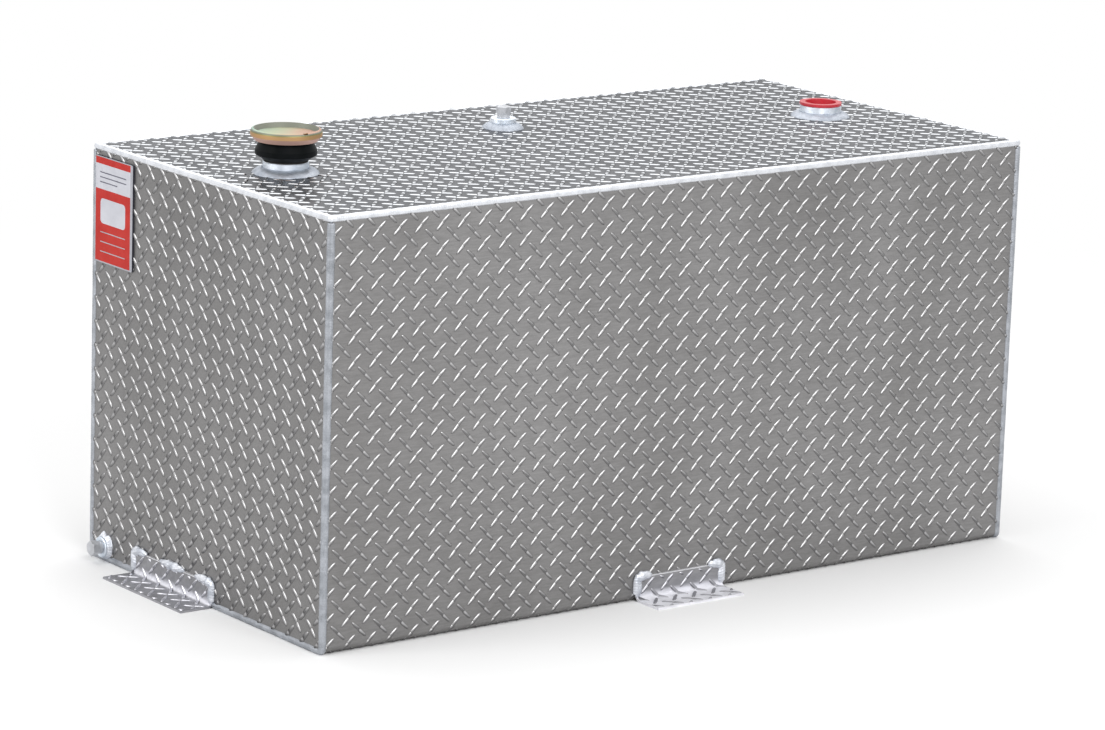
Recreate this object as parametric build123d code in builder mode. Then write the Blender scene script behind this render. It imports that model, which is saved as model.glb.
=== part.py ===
"""Rectangular aluminium tread plate transfer tank for a pickup truck bed.

Frame: origin on the floor under the middle of the tank, +X along the tank to
the right, +Y to the back, +Z up. All lengths are in millimetres.
"""
import os
from math import sqrt

from build123d import *

os.makedirs("parts", exist_ok=True)

# Tank box, measured over the sheets
tank_length = 1219.0
tank_depth = 597.0
tank_top = 603.0
sheet = 3.2
tread_height = 1.5
wrap_inner_bend = 5.0

# Weld beads along the seams
top_bead_radius = 5.0
end_bead_radius = 5.6
bead_clearance = 0.2

# Baffles inside the tank
baffle_spacing = 406.0
baffle_corner_cut = 75.0
baffle_flange = 25.0
baffle_clearance = 0.2
baffle_hole_radius = 60.0

# Hold-down brackets of bent tread plate, with corners picked within corner_pick
bracket_height = 36.0
bracket_reach = 53.0
bracket_inner_bend = 6.0
front_bracket_width = 154.0
front_bracket_shift = 1.0
end_bracket_width = 205.0
end_bracket_shift = 75.0
corner_pick = 0.1

# Fillet welds on the brackets
bracket_bead_radius = 6.0
bracket_blob_radius = 8.0
bracket_bead_run = 22.0
bracket_middle_bead = 30.0

# Round fittings share these, a weld's bulge being a share of its width
thread_clearance = 0.35
spigot_clearance = 0.3
spigot_depth = 12.0
spigot_step = 3.0
bead_gap = 0.3
weld_bulge = 0.12

# Fill neck and its vented cap
fill_inset = 118.7
fill_y = -11.2
fill_neck_radius = 32.0
fill_bore_radius = 27.0
fill_neck_height = 17.5
fill_bead_radius = 47.5
fill_bead_height = 9.0
fill_gasket_thickness = 2.0
fill_shank_length = 13.0
fill_shank_bore_radius = 21.0
cap_seat_radius = 31.3
cap_taper_height = 7.5
cap_flange_radius = 43.0
cap_flange_height = 7.0
cap_waist_radius = 36.5
cap_waist_height = 12.5
cap_lid_radius = 42.5
cap_ceiling = 4.0
cover_sheet = 1.0
cover_mouth_radius = 44.0
cover_radius = 50.0
cover_skirt_height = 7.0
cover_side_height = 4.0
cover_rim_radius = 45.5
cover_rim_height = 5.5
cover_floor_radius = 41.0
cover_dish_depth = 6.5
cover_slot_width = 4.0
cover_slot_length = 8.0

# Vent bung and its plug
vent_x = -15.0
vent_y = 133.0
vent_bung_radius = 18.5
vent_bore_radius = 9.55
vent_bung_height = 16.0
vent_bead_radius = 31.0
vent_bead_height = 9.0

# Pump bung and its push-in plug
pump_inset = 134.7
pump_y = -1.6
pump_bung_radius = 31.0
pump_bore_radius = 25.5
pump_bung_height = 18.0
pump_bead_radius = 45.0
pump_bead_height = 8.0
pump_plug_flange_radius = 31.4
pump_plug_flange = 4.0
pump_plug_length = 15.0
pump_plug_wall = 2.0
pump_plug_taper = 0.8

# Drain bung and its plug, low on the left end
drain_inset = 41.5
drain_rise = 20.5
drain_bung_radius = 15.0
drain_bore_radius = 9.55
drain_bung_height = 9.5
drain_bead_radius = 20.4
drain_bead_height = 7.0

# Hex-head pipe plugs of the vent and the drain
plug_engagement = 11.0
plug_stand_off = 6.5
plug_head_height = 10.0
plug_head_flats = 19.8
plug_head_turn = 8.0
edge_break = 1.0

# Card on the left end
label_width = 99.0
label_height = 153.0
label_thickness = 3.0
label_inset = 58.5
label_drop = 90.5
label_corner = 3.0

# Places that follow from the sizes above
half_length = tank_length / 2
half_depth = tank_depth / 2
inner_depth = half_depth - sheet
inner_length = half_length - sheet
floor_low = tread_height
floor_high = tread_height + sheet
roof_low = tank_top - sheet
wrap_outer_bend = wrap_inner_bend + sheet
fill_x = fill_inset - half_length
pump_x = half_length - pump_inset
drain_y = half_depth - drain_inset
drain_z = floor_low + drain_rise
label_y = half_depth - label_inset
label_z = tank_top - label_drop


def u_section(plane, half_width, low, high, corner):
    """Face of a trough: a rectangle with its two lower corners rounded."""
    with BuildSketch(plane) as section:
        with Locations((0, (low + high) / 2)):
            Rectangle(2 * half_width, high - low)
        fillet(section.vertices().group_by(Axis.Y)[0], corner)
    return section.sketch


def save(part, name):
    """Label a finished piece and write it as its own STEP file."""
    part.label = name
    export_step(part, f"parts/{name}.step")


# Wrap: front, bottom and back folded from one sheet
wrap_plane = Plane.YZ.offset(-inner_length)
with BuildPart() as wrap_sheet:
    extrude(u_section(wrap_plane, half_depth, floor_low, roof_low, wrap_outer_bend), 2 * inner_length)
    extrude(
        u_section(wrap_plane, inner_depth, floor_high, tank_top, wrap_inner_bend),
        2 * inner_length,
        mode=Mode.SUBTRACT,
    )
save(wrap_sheet.part, "wrap_sheet")


# Top panel with one hole for each fitting
top_fittings = [
    (fill_x, fill_y, fill_neck_radius),
    (vent_x, vent_y, vent_bung_radius),
    (pump_x, pump_y, pump_bung_radius),
]
with BuildPart() as top_panel:
    with BuildSketch(Plane.XY.offset(roof_low)):
        Rectangle(2 * inner_length, 2 * inner_depth)
        for fitting_x, fitting_y, fitting_radius in top_fittings:
            with Locations((fitting_x, fitting_y)):
                Circle(fitting_radius - spigot_step + spigot_clearance, mode=Mode.SUBTRACT)
    extrude(amount=sheet)
save(top_panel.part, "top_panel")


# End panels set inside the wrap, the left one with the drain hole
def end_panel(side, hole_radius):
    """End sheet whose outer face lies at side * half_length."""
    face_plane = Plane.YZ.offset(inner_length)
    with BuildPart() as panel:
        extrude(u_section(face_plane, inner_depth, floor_high, roof_low, wrap_inner_bend), sheet)
        if hole_radius:
            with BuildSketch(face_plane):
                with Locations((drain_y, drain_z)):
                    Circle(hole_radius)
            extrude(amount=sheet, mode=Mode.SUBTRACT)
    if side > 0:
        return panel.part
    return mirror(panel.part, about=Plane.YZ, mode=Mode.PRIVATE)


save(end_panel(-1, drain_bung_radius - spigot_step + spigot_clearance), "end_panel_left")
save(end_panel(1, 0), "end_panel_right")


# Baffles: cropped corners, a surge hole and a flange on each straight edge
def baffle(place):
    """Pressed baffle sheet at x = place with its flanges pointing to +X."""
    half = inner_depth - baffle_clearance
    low = floor_high + baffle_clearance
    high = roof_low - baffle_clearance
    middle = (low + high) / 2
    straight_y = 2 * (half - baffle_corner_cut)
    straight_z = high - low - 2 * baffle_corner_cut
    with BuildPart() as plate:
        with BuildSketch(Plane.YZ.offset(place)) as web:
            with Locations((0, middle)):
                Rectangle(2 * half, high - low)
            chamfer(web.vertices(), baffle_corner_cut)
            with Locations((0, middle)):
                Circle(baffle_hole_radius, mode=Mode.SUBTRACT)
        extrude(amount=sheet)
        with BuildSketch(Plane.YZ.offset(place)):
            with Locations((0, low + sheet / 2), (0, high - sheet / 2)):
                Rectangle(straight_y, sheet)
            with Locations((-half + sheet / 2, middle), (half - sheet / 2, middle)):
                Rectangle(sheet, straight_z)
        extrude(amount=baffle_flange)
    return plate.part


for baffle_name, baffle_side in (("baffle_left", -1), ("baffle_right", 1)):
    save(baffle(baffle_side * baffle_spacing / 2), baffle_name)


# Hold-down brackets, each built against a wall at y = 0 facing -Y
def bracket_shape(width):
    """Bent angle: a leg up the wall and a foot out along the floor."""
    with BuildPart() as angle:
        with BuildSketch(Plane.YZ.offset(-width / 2)) as section:
            with BuildLine():
                Polyline(
                    (0, 0),
                    (-bracket_reach, 0),
                    (-bracket_reach, sheet),
                    (-sheet, sheet),
                    (-sheet, bracket_height),
                    (0, bracket_height),
                    close=True,
                )
            make_face()
            at_wall = section.vertices().filter_by_position(Axis.X, -corner_pick, corner_pick)
            fillet(at_wall.sort_by(Axis.Y)[0], bracket_inner_bend + sheet)
            leg_face = (-sheet - corner_pick, -sheet + corner_pick)
            at_leg = section.vertices().filter_by_position(Axis.X, *leg_face)
            fillet(at_leg.sort_by(Axis.Y)[0], bracket_inner_bend)
        extrude(amount=width)
    return angle.part


def bead_tube(points, radius):
    """Half-round bead along a rounded polyline on the wall plane y = 0."""
    with BuildPart() as tube:
        with BuildLine(Plane.XZ) as path:
            if len(points) > 2:
                FilletPolyline(*points, radius=radius)
            else:
                Line(*points)
        with BuildSketch(Plane(origin=path.line @ 0, x_dir=(0, -1, 0), z_dir=path.line % 0)):
            Circle(radius)
            with Locations((-radius, 0)):
                Rectangle(2 * radius, 2 * radius, mode=Mode.SUBTRACT)
        sweep(path=path.line)
    return tube.part


def bead_blobs(places):
    """Half-round blobs where a bead starts or ends, at (x, z) on the wall plane."""
    with BuildPart() as blobs:
        for place_x, place_z in places:
            with Locations((place_x, 0, place_z)):
                Sphere(bracket_blob_radius)
        split(bisect_by=Plane.XZ, keep=Keep.TOP)
    return blobs.part


def bracket_beads(width, middle_bead):
    """Beads down both sides of a leg and round its top corners."""
    bead_foot = floor_high + end_bead_radius + bead_clearance
    with BuildPart() as beads:
        for side in (-1, 1):
            edge = side * width / 2
            turn_in = side * (width / 2 - bracket_bead_run)
            bead_points = [(edge, bead_foot), (edge, bracket_height), (turn_in, bracket_height)]
            add(bead_tube(bead_points, bracket_bead_radius))
            add(bead_blobs([(side * (width / 2 - bracket_blob_radius), bracket_height)]))
        if middle_bead:
            half_run = bracket_middle_bead / 2
            add(bead_tube([(-half_run, bracket_height), (half_run, bracket_height)], bracket_bead_radius))
            add(bead_blobs([(-half_run / 2, bracket_height), (half_run / 2, bracket_height)]))
        add(bracket_shape(width), mode=Mode.SUBTRACT)
    return beads.part


brackets = [
    ("bracket_front", 0, front_bracket_width, front_bracket_shift, half_depth, False),
    ("bracket_right", 90, end_bracket_width, end_bracket_shift, half_length, True),
    ("bracket_rear", 180, front_bracket_width, -front_bracket_shift, half_depth, False),
    ("bracket_left", 270, end_bracket_width, -end_bracket_shift, half_length, True),
]
placed_brackets = {}
for bracket_name, turn, width, shift, wall, middle_bead in brackets:
    place = Location((0, 0, 0), (0, 0, turn)) * Location((shift, -wall, 0))
    placed_brackets[bracket_name] = bracket_shape(width).moved(place)
    save(placed_brackets[bracket_name], bracket_name)
    save(bracket_beads(width, middle_bead).moved(place), f"{bracket_name}_welds")


# Seam welds: round beads laid in the open corners between the sheets
def tank_block():
    """The sheeted box without its open corner grooves, solid all through."""
    wrap_face = u_section(wrap_plane, half_depth, floor_low, roof_low, wrap_outer_bend)
    end_plane = Plane.YZ.offset(-half_length)
    with BuildPart() as block:
        extrude(wrap_face, 2 * inner_length)
        extrude(u_section(end_plane, inner_depth, floor_high, roof_low, wrap_inner_bend), 2 * half_length)
        with BuildSketch(Plane.XY.offset(roof_low - sheet)):
            Rectangle(2 * inner_length, 2 * inner_depth)
        extrude(amount=2 * sheet)
    return block.part


shell_block = tank_block()

# Top seam weld: front and back runs with round ends, and side runs cut to fit between them
with BuildPart() as long_runs:
    for corner_y in (-inner_depth, inner_depth):
        with BuildSketch(Plane.YZ.offset(-inner_length)):
            with Locations((corner_y, roof_low)):
                Circle(top_bead_radius)
        extrude(amount=2 * inner_length)
    with GridLocations(2 * inner_length, 2 * inner_depth, 2, 2):
        with Locations((0, 0, roof_low)):
            Sphere(top_bead_radius)
    add(shell_block, mode=Mode.SUBTRACT)

with BuildPart() as side_runs:
    for corner_x in (-inner_length, inner_length):
        with BuildSketch(Plane.XZ.offset(-inner_depth)):
            with Locations((corner_x, roof_low)):
                Circle(top_bead_radius)
        extrude(amount=2 * inner_depth)
    add(shell_block, mode=Mode.SUBTRACT)
    add(long_runs.part, mode=Mode.SUBTRACT)
top_seam_weld = Compound(children=[*long_runs.part.solids(), *side_runs.part.solids()])
save(top_seam_weld, "top_seam_weld")


def end_seam(side):
    """U-shaped bead round an end panel, ground flush with the feet below."""
    seam_top = roof_low - top_bead_radius - bead_clearance
    path_points = [
        (-inner_depth, seam_top),
        (-inner_depth, floor_high),
        (inner_depth, floor_high),
        (inner_depth, seam_top),
    ]
    with BuildPart() as seam:
        with BuildLine(Plane.YZ.offset(inner_length)) as path:
            FilletPolyline(*path_points, radius=wrap_inner_bend)
        with BuildSketch(Plane(origin=path.line @ 0, z_dir=path.line % 0)):
            Circle(end_bead_radius)
        sweep(path=path.line)
        add(shell_block, mode=Mode.SUBTRACT)
        split(bisect_by=Plane.XY, keep=Keep.TOP)
        add(placed_brackets["bracket_right"], mode=Mode.SUBTRACT)
        if side < 0:
            with BuildSketch(Plane.YZ.offset(inner_length)):
                with Locations((drain_y, drain_z)):
                    Circle(drain_bung_radius + bead_gap)
            extrude(amount=sheet + end_bead_radius, mode=Mode.SUBTRACT)
    if side > 0:
        return seam.part
    return mirror(seam.part, about=Plane.YZ, mode=Mode.PRIVATE)


left_seam = end_seam(-1)
save(left_seam, "end_seam_weld_left")
save(end_seam(1), "end_seam_weld_right")


# Round fittings, each turned about the +Z of its own plane from z = 0 at the sheet
def turned(plane, points):
    """Solid of revolution from a closed profile of (radius, height) points."""
    with BuildPart() as solid:
        with BuildSketch(plane * Plane.XZ):
            with BuildLine():
                Polyline(*points, close=True)
            make_face()
        revolve(axis=Axis(plane.origin, plane.z_dir))
    return solid.part


def bung(plane, radius, bore_radius, height):
    """Weld-in bung: a collar on the sheet with a spigot through its hole."""
    spigot_radius = radius - spigot_step
    points = [
        (bore_radius, -spigot_depth),
        (spigot_radius, -spigot_depth),
        (spigot_radius, 0),
        (radius, 0),
        (radius, height - edge_break),
        (radius - edge_break, height),
        (bore_radius, height),
    ]
    return turned(plane, points)


def fillet_weld(plane, radius, bead_radius, bead_height):
    """Slightly bulging fillet weld round a bung."""
    inner = radius + bead_gap
    bulge = weld_bulge * (bead_radius - inner)
    with BuildPart() as weld:
        with BuildSketch(plane * Plane.XZ):
            with BuildLine():
                Polyline((inner, bead_height), (inner, 0), (bead_radius, 0))
                middle = ((inner + bead_radius) / 2 + bulge, bead_height / 2 + bulge)
                ThreePointArc((bead_radius, 0), middle, (inner, bead_height))
            make_face()
        revolve(axis=Axis(plane.origin, plane.z_dir))
    return weld.part


def washer(plane, height, inner, outer, thickness):
    """Flat ring standing on height."""
    with BuildPart() as ring:
        with BuildSketch(plane.offset(height)):
            Circle(outer)
            Circle(inner, mode=Mode.SUBTRACT)
        extrude(amount=thickness)
    return ring.part


def pipe_plug(plane, seat, bore_radius):
    """Solid plug with a plain shank and a hex head whose top edges are turned off."""
    shank = bore_radius - thread_clearance
    low = seat - plug_engagement
    head_low = seat + plug_stand_off
    head_high = head_low + plug_head_height
    head_radius = plug_head_flats / sqrt(3)
    shank_points = [
        (0, low),
        (shank - edge_break, low),
        (shank, low + edge_break),
        (shank, head_low),
        (0, head_low),
    ]
    turned_head = [
        (0, head_low),
        (head_radius, head_low),
        (head_radius, head_high - edge_break),
        (plug_head_flats / 2 - edge_break, head_high),
        (0, head_high),
    ]
    with BuildPart() as plug:
        with BuildSketch(plane.offset(head_low)):
            RegularPolygon(head_radius, 6, rotation=plug_head_turn)
        extrude(amount=plug_head_height)
        add(turned(plane, turned_head), mode=Mode.INTERSECT)
        add(turned(plane, shank_points))
    return plug.part


# Fill neck
fill_plane = Plane((fill_x, fill_y, tank_top))
save(bung(fill_plane, fill_neck_radius, fill_bore_radius, fill_neck_height), "fill_neck")
save(fillet_weld(fill_plane, fill_neck_radius, fill_bead_radius, fill_bead_height), "fill_neck_weld")

# Fill cap: gasket, black body and plated sheet cover
cap_seat = fill_neck_height + fill_gasket_thickness
cap_flange_low = cap_seat + cap_taper_height
cap_flange_high = cap_flange_low + cap_flange_height
cover_mouth = cap_flange_high + cap_waist_height
cover_side_low = cover_mouth + cover_skirt_height
cover_side_high = cover_side_low + cover_side_height
cover_top = cover_side_high + cover_rim_height
cover_floor = cover_top - cover_dish_depth
cap_top = cover_floor - cover_sheet
fill_shank_radius = fill_bore_radius - thread_clearance

save(
    washer(fill_plane, fill_neck_height, fill_bore_radius, cap_seat_radius, fill_gasket_thickness),
    "fill_cap_gasket",
)

cap_points = [
    (fill_shank_bore_radius, fill_neck_height - fill_shank_length),
    (fill_shank_radius, fill_neck_height - fill_shank_length),
    (fill_shank_radius, cap_seat),
    (cap_seat_radius, cap_seat),
    (cap_flange_radius, cap_flange_low),
    (cap_flange_radius, cap_flange_high),
    (cap_waist_radius, cover_mouth),
    (cap_lid_radius, cover_mouth),
    (cap_lid_radius, cap_top),
    (0, cap_top),
    (0, cap_top - cap_ceiling),
    (fill_shank_bore_radius, cap_top - cap_ceiling),
]
save(turned(fill_plane, cap_points), "fill_cap_body")


def cover_shoulder(inset):
    """Rounded shoulder of the stamped cover, moved in by inset from its outer skin."""
    side = cover_radius - inset
    across = (side - cover_rim_radius) * sqrt(0.5)
    up = (cover_rim_height - inset) * sqrt(0.5)
    ThreePointArc(
        (side, cover_side_high),
        (cover_rim_radius + across, cover_side_high + up),
        (cover_rim_radius, cover_top - inset),
    )


with BuildPart() as fill_cap_cover:
    with BuildSketch(fill_plane * Plane.XZ):
        with BuildLine():
            inner_side = cover_radius - cover_sheet
            inner_mouth = cover_mouth_radius - cover_sheet
            Line((cover_mouth_radius, cover_mouth), (cover_radius, cover_side_low))
            Line((cover_radius, cover_side_low), (cover_radius, cover_side_high))
            cover_shoulder(0)
            Line((cover_rim_radius, cover_top), (cover_floor_radius, cover_floor))
            Line((cover_floor_radius, cover_floor), (0, cover_floor))
            Line((0, cover_floor), (0, cap_top))
            Line((0, cap_top), (cover_floor_radius + cover_sheet, cap_top))
            Line((cover_floor_radius + cover_sheet, cap_top), (cover_rim_radius, cover_top - cover_sheet))
            cover_shoulder(cover_sheet)
            Line((inner_side, cover_side_high), (inner_side, cover_side_low))
            Line((inner_side, cover_side_low), (inner_mouth, cover_mouth))
            Line((inner_mouth, cover_mouth), (cover_mouth_radius, cover_mouth))
        make_face()
    revolve(axis=Axis(fill_plane.origin, fill_plane.z_dir))
    with BuildSketch(fill_plane.offset(cover_side_high)):
        with Locations((0, cover_sheet - cover_radius + cover_slot_width / 2)):
            SlotOverall(cover_slot_length, cover_slot_width)
    extrude(amount=cover_rim_height, mode=Mode.SUBTRACT)
save(fill_cap_cover.part, "fill_cap_cover")

# Vent bung and its plug
vent_plane = Plane((vent_x, vent_y, tank_top))
save(bung(vent_plane, vent_bung_radius, vent_bore_radius, vent_bung_height), "vent_bung")
save(fillet_weld(vent_plane, vent_bung_radius, vent_bead_radius, vent_bead_height), "vent_bung_weld")
save(pipe_plug(vent_plane, vent_bung_height, vent_bore_radius), "vent_plug")

# Pump bung with its push-in plug
pump_plane = Plane((pump_x, pump_y, tank_top))
save(bung(pump_plane, pump_bung_radius, pump_bore_radius, pump_bung_height), "pump_bung")
save(fillet_weld(pump_plane, pump_bung_radius, pump_bead_radius, pump_bead_height), "pump_bung_weld")

plug_outer = pump_bore_radius - thread_clearance
plug_low = pump_bung_height - pump_plug_length
plug_high = pump_bung_height + pump_plug_flange
plug_inner = plug_outer - pump_plug_wall
pump_plug_points = [
    (0, plug_low),
    (plug_outer - pump_plug_taper, plug_low),
    (plug_outer, pump_bung_height),
    (pump_plug_flange_radius, pump_bung_height),
    (pump_plug_flange_radius, plug_high),
    (plug_inner, plug_high),
    (plug_inner - pump_plug_taper, plug_low + pump_plug_wall),
    (0, plug_low + pump_plug_wall),
]
save(turned(pump_plane, pump_plug_points), "pump_port_plug")

# Drain bung and its plug
drain_plane = Plane((-half_length, drain_y, drain_z), x_dir=(0, 0, 1), z_dir=(-1, 0, 0))
save(bung(drain_plane, drain_bung_radius, drain_bore_radius, drain_bung_height), "drain_bung")
with BuildPart() as drain_bung_weld:
    add(fillet_weld(drain_plane, drain_bung_radius, drain_bead_radius, drain_bead_height))
    add(left_seam, mode=Mode.SUBTRACT)
save(drain_bung_weld.part, "drain_bung_weld")
save(pipe_plug(drain_plane, drain_bung_height, drain_bore_radius), "drain_plug")

# Card on the left end, near the rear top corner
with BuildPart() as label_plate:
    with BuildSketch(Plane.YZ.offset(-half_length)):
        with Locations((label_y, label_z)):
            RectangleRounded(label_width, label_height, label_corner)
    extrude(amount=-label_thickness)
save(label_plate.part, "label_plate")
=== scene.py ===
import math
import random

import bmesh
import bpy
import numpy as np
from mathutils import Matrix, Vector, noise


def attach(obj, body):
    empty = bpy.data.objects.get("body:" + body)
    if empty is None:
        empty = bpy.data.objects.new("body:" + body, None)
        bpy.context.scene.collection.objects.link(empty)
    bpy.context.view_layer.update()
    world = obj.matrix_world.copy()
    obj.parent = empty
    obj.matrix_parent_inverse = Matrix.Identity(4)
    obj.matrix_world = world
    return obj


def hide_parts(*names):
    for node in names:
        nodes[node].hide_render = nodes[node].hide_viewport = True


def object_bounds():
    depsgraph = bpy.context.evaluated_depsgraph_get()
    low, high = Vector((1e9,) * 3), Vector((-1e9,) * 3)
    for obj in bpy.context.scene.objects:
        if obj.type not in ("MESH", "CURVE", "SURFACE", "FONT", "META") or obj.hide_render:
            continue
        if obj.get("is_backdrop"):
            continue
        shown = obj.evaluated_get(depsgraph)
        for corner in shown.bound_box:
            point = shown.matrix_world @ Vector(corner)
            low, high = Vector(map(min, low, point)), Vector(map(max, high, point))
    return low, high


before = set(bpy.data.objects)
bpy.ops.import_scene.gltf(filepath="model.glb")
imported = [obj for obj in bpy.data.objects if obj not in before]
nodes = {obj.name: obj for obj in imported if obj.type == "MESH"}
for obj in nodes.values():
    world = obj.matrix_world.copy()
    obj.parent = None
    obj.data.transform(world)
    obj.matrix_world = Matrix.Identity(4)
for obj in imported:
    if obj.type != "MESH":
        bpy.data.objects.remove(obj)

# Aluminium tread plate transfer tank: looks, light and camera, all in metres.
cad_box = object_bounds()
mm = 0.001
dice = random.Random(11)
quarter = math.pi / 2


# Sizes that the pieces share with the solids
half_length = 609.5 * mm
half_depth = 298.5 * mm
tank_top = 603.0 * mm
sheet = 3.2 * mm
tread = 1.5 * mm
inner_length = half_length - sheet
inner_depth = half_depth - sheet
roof_low = tank_top - sheet
floor_low = tread
floor_high = floor_low + sheet
wrap_bend = 8.2 * mm
end_bend = wrap_bend - sheet
top_bead = 5.0 * mm
end_bead = 5.6 * mm
bead_gap = 0.2 * mm
fill_place = (-490.8 * mm, -11.2 * mm)
vent_place = (-15.0 * mm, 133.0 * mm)
pump_place = (474.8 * mm, -1.6 * mm)
drain_place = (257.0 * mm, 22.0 * mm)
card_place = (240.0 * mm, 512.5 * mm)
card_size = (99.0 * mm, 153.0 * mm)
card_proud = 3.0 * mm
bracket_height = 36.0 * mm
bracket_reach = 53.0 * mm
bracket_throat = 6.0 * mm
front_bracket_width = 154.0 * mm
front_bracket_shift = 1.0 * mm
end_bracket_width = 205.0 * mm
end_bracket_shift = 75.0 * mm

# Turn of each bracket about the tank in degrees, its width, its shift and how far off its wall is
brackets = {
    "front": (0, front_bracket_width, front_bracket_shift, half_depth),
    "right": (90, end_bracket_width, end_bracket_shift, half_length),
    "rear": (180, front_bracket_width, -front_bracket_shift, half_depth),
    "left": (270, end_bracket_width, -end_bracket_shift, half_length),
}


# Material helpers
def new_material(name):
    """A new material with its node tree and its shader."""
    mat = bpy.data.materials.new(name)
    mat.use_nodes = True
    return mat, mat.node_tree, mat.node_tree.nodes["Principled BSDF"]


def node(tree, kind, values=None, **settings):
    """Node of a kind, with its input values and its settings."""
    made = tree.nodes.new(kind)
    for key, value in settings.items():
        setattr(made, key, value)
    for key, value in (values or {}).items():
        made.inputs[key].default_value = value
    return made


def object_coords(tree, scale=(1, 1, 1)):
    """Coordinates of the object in metres, stretched by scale."""
    coords = node(tree, "ShaderNodeTexCoord")
    mapping = node(tree, "ShaderNodeMapping", {"Scale": scale})
    tree.links.new(coords.outputs["Object"], mapping.inputs["Vector"])
    return mapping.outputs["Vector"]


def grain(tree, scale, detail=3.0, rough=0.5, stretch=(1, 1, 1)):
    """Noise over the object, as one value."""
    made = node(tree, "ShaderNodeTexNoise", {"Scale": scale, "Detail": detail, "Roughness": rough})
    tree.links.new(object_coords(tree, stretch), made.inputs["Vector"])
    return made.outputs["Fac"]


def ramp(tree, source, stops, blend="LINEAR"):
    """Colours or greys by a value, through stops of (value, colour)."""
    made = node(tree, "ShaderNodeValToRGB")
    made.color_ramp.interpolation = blend
    elements = made.color_ramp.elements
    while len(elements) < len(stops):
        elements.new(0.5)
    for element, (at, colour) in zip(elements, stops):
        element.position = at
        element.color = (*colour, 1) if isinstance(colour, tuple) else (colour, colour, colour, 1)
    tree.links.new(source, made.inputs["Fac"])
    return made.outputs["Color"]


def mixed(tree, factor, a, b, blend="MIX"):
    """Colour b over colour a by a factor."""
    made = node(tree, "ShaderNodeMix", data_type="RGBA", blend_type=blend)
    for socket, value in (("Factor", factor), ("A", a), ("B", b)):
        kind = "VALUE" if socket == "Factor" else "RGBA"
        target = next(i for i in made.inputs if i.name == socket and i.type == kind)
        if isinstance(value, bpy.types.NodeSocket):
            tree.links.new(value, target)
        else:
            target.default_value = (*value, 1) if isinstance(value, tuple) else value
    return next(o for o in made.outputs if o.type == "RGBA")


def spread(tree, source, low, high):
    """Value from 0 to 1 brought to low..high."""
    made = node(tree, "ShaderNodeMapRange", {"To Min": low, "To Max": high})
    tree.links.new(source, made.inputs["Value"])
    return made.outputs["Result"]


def bumped(tree, bsdf, source, distance):
    """Fine relief of a height in metres."""
    made = node(tree, "ShaderNodeBump", {"Distance": distance, "Strength": 1.0})
    tree.links.new(source, made.inputs["Height"])
    tree.links.new(made.outputs["Normal"], bsdf.inputs["Normal"])


def plate_material(name, dark, light, rough, tint=0.6):
    """Mill-finish sheet: slow clouds, fine rolling grain and small specks."""
    mat, tree, bsdf = new_material(name)
    clouds = ramp(tree, grain(tree, 5.0, 4.0, 0.55, (1, 1, 0.6)), [(0.3, dark), (0.7, light)])
    fine = ramp(tree, grain(tree, 420.0, 2.0, 0.6, (0.12, 1, 1)), [(0.25, 0.80), (0.75, 1.0)])
    specks = ramp(tree, grain(tree, 1500.0, 1.0, 0.5), [(0.3, 0.86), (0.6, 1.0)])
    colour = mixed(tree, 1.0, mixed(tree, 1.0, clouds, fine, "MULTIPLY"), specks, "MULTIPLY")
    tree.links.new(colour, bsdf.inputs["Base Color"])
    wear = spread(tree, grain(tree, 35.0, 4.0, 0.6), rough - 0.07, rough + 0.09)
    tree.links.new(wear, bsdf.inputs["Roughness"])
    bsdf.inputs["Metallic"].default_value = 1.0
    bsdf.inputs["Specular Tint"].default_value = (tint, tint, tint, 1)
    bumped(tree, bsdf, grain(tree, 900.0, 2.0, 0.5, (0.2, 1, 1)), 0.00004)
    return mat


def bar_material(name, foot, crest, rough, tint=0.3):
    """Raised bars: lighter on the crest as rubbed metal with a painted highlight, with painted shade at the
    foot and on flanks that face down.
    """
    mat, tree, bsdf = new_material(name)
    height = node(tree, "ShaderNodeAttribute", attribute_name="crest")
    # Painted shade at the foot of each bar, where it meets the sheet; the lighter crest is rubbed metal
    # with a painted highlight.
    body = ramp(tree, height.outputs["Fac"], [(0.05, foot), (0.45, crest), (1.0, crest)], "EASE")
    rubbed = ramp(tree, grain(tree, 260.0, 3.0, 0.6), [(0.3, 0.86), (0.7, 1.0)])
    # Painted shade: flanks that face down are darker.
    facing = node(tree, "ShaderNodeNewGeometry")
    upward = node(tree, "ShaderNodeSeparateXYZ")
    tree.links.new(facing.outputs["Normal"], upward.inputs["Vector"])
    level = node(tree, "ShaderNodeMapRange", {"From Min": -0.5, "From Max": 0.5})
    tree.links.new(upward.outputs["Z"], level.inputs["Value"])
    painted_shade_below = ramp(tree, level.outputs["Result"], [(0.30, 0.55), (0.62, 1.0)])
    worn_and_shaded = mixed(tree, 1.0, mixed(tree, 1.0, body, rubbed, "MULTIPLY"), painted_shade_below, "MULTIPLY")
    tree.links.new(worn_and_shaded, bsdf.inputs["Base Color"])
    wear = spread(tree, grain(tree, 500.0, 2.0, 0.6), rough - 0.08, rough + 0.08)
    tree.links.new(wear, bsdf.inputs["Roughness"])
    bsdf.inputs["Metallic"].default_value = 1.0
    bsdf.inputs["Specular Tint"].default_value = (tint, tint, tint, 1)
    return mat


def weld_material(name, dark, light, rough):
    """Bright aluminium bead with faint soot and colour along it."""
    mat, tree, bsdf = new_material(name)
    body = ramp(tree, grain(tree, 60.0, 4.0, 0.6), [(0.35, dark), (0.6, light)])
    frost = ramp(tree, grain(tree, 700.0, 2.0, 0.6), [(0.3, 0.85), (0.6, 1.0)])
    tree.links.new(mixed(tree, 1.0, body, frost, "MULTIPLY"), bsdf.inputs["Base Color"])
    wear = spread(tree, grain(tree, 180.0, 3.0, 0.5), rough - 0.08, rough + 0.12)
    tree.links.new(wear, bsdf.inputs["Roughness"])
    bsdf.inputs["Metallic"].default_value = 0.85
    bumped(tree, bsdf, grain(tree, 500.0, 3.0, 0.6), 0.00012)
    return mat


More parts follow.
